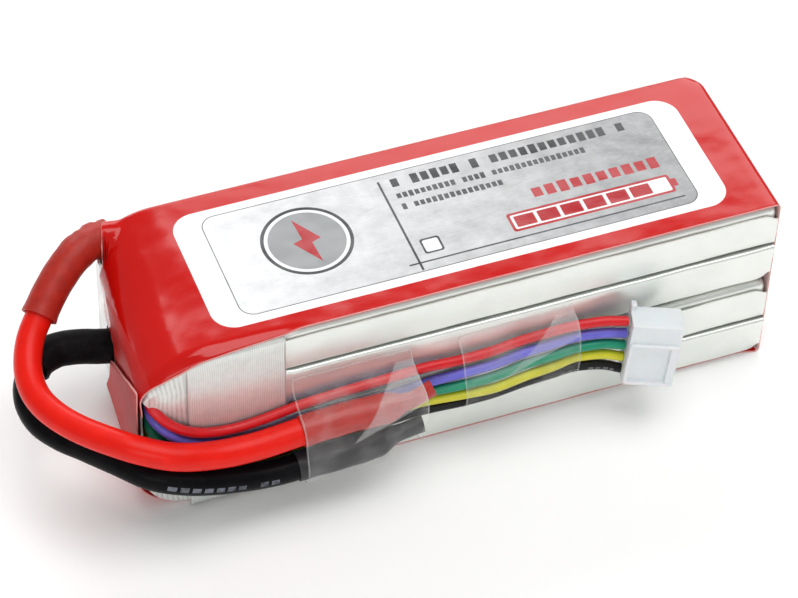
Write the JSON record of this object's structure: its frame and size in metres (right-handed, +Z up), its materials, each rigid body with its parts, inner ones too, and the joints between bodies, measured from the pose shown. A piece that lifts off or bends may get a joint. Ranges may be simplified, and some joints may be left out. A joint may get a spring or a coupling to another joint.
{
  "type": "lipo battery pack",
  "caption": "Soft-pouch rechargeable pack: stacked foil cells in a red film label, two heavy leads looped back and taped along one side, and thin balance wires ending in a white plug.",
  "frame": {"origin": "middle of the underside of the taped pack, with the leads, wires, plug and clear tapes left out", "axes": "+X along the pack, away from the end with the leads; +Y across it, away from the side that the leads are taped to; +Z up out of the labelled top"},
  "size_m": [0.1266, 0.0456, 0.0356],
  "materials": {
    "pouch": "satin silver laminate foil",
    "pad": "soft adhesive pad",
    "tab_aluminium": "plain rolled strip",
    "tab_nickel": "nickel-plated strip",
    "solder": "bright solder",
    "board": "green glass-fibre board",
    "card": "grey insulating card",
    "label": "glossy red film with a grey and white printed panel",
    "strand_tape": "pale tape with fine glass strands",
    "clear_tape": "clear glossy tape",
    "red_silicone": "smooth red silicone",
    "black_silicone": "smooth black silicone",
    "red_shrink": "dull red shrink tube",
    "black_shrink": "dull black shrink tube",
    "wire_red": "satin red silicone",
    "wire_blue": "satin blue silicone",
    "wire_green": "satin green silicone",
    "wire_yellow": "satin yellow silicone",
    "wire_black": "satin black silicone",
    "plug": "white moulded nylon",
    "contact": "tin-plated strip"
  },
  "bodies": {
    "root": {"cell_1": "pouch", "cell_2": "pouch", "cell_3": "pouch", "cell_4": "pouch", "cell_pad_1": "pad", "cell_pad_2": "pad", "cell_pad_3": "pad", "tab_1_positive": "tab_aluminium", "tab_2_positive": "tab_aluminium", "tab_3_positive": "tab_aluminium", "tab_4_positive": "tab_aluminium", "tab_1_negative": "tab_nickel", "tab_2_negative": "tab_nickel", "tab_3_negative": "tab_nickel", "tab_4_negative": "tab_nickel", "tab_board": "board", "insulating_card": "card", "red_lead_joint": "solder", "black_lead_joint": "solder", "wire_joint_1": "solder", "wire_joint_2": "solder", "wire_joint_3": "solder", "wire_joint_4": "solder", "wire_joint_5": "solder", "end_wrap": "strand_tape", "strand_band": "strand_tape", "label_wrap": "label", "red_lead": "red_silicone", "black_lead": "black_silicone", "red_lead_tip": "solder", "black_lead_tip": "solder", "red_sleeve": "red_shrink", "black_sleeve": "black_shrink", "red_end_cap": "red_shrink", "black_end_cap": "black_shrink", "balance_wire_red": "wire_red", "balance_wire_blue": "wire_blue", "balance_wire_green": "wire_green", "balance_wire_yellow": "wire_yellow", "balance_wire_black": "wire_black", "plug_housing": "plug", "crimp_contact_1": "contact", "crimp_contact_2": "contact", "crimp_contact_3": "contact", "crimp_contact_4": "contact", "crimp_contact_5": "contact", "lead_tape": "clear_tape", "wire_tape": "clear_tape"}
  },
  "joints": []
}
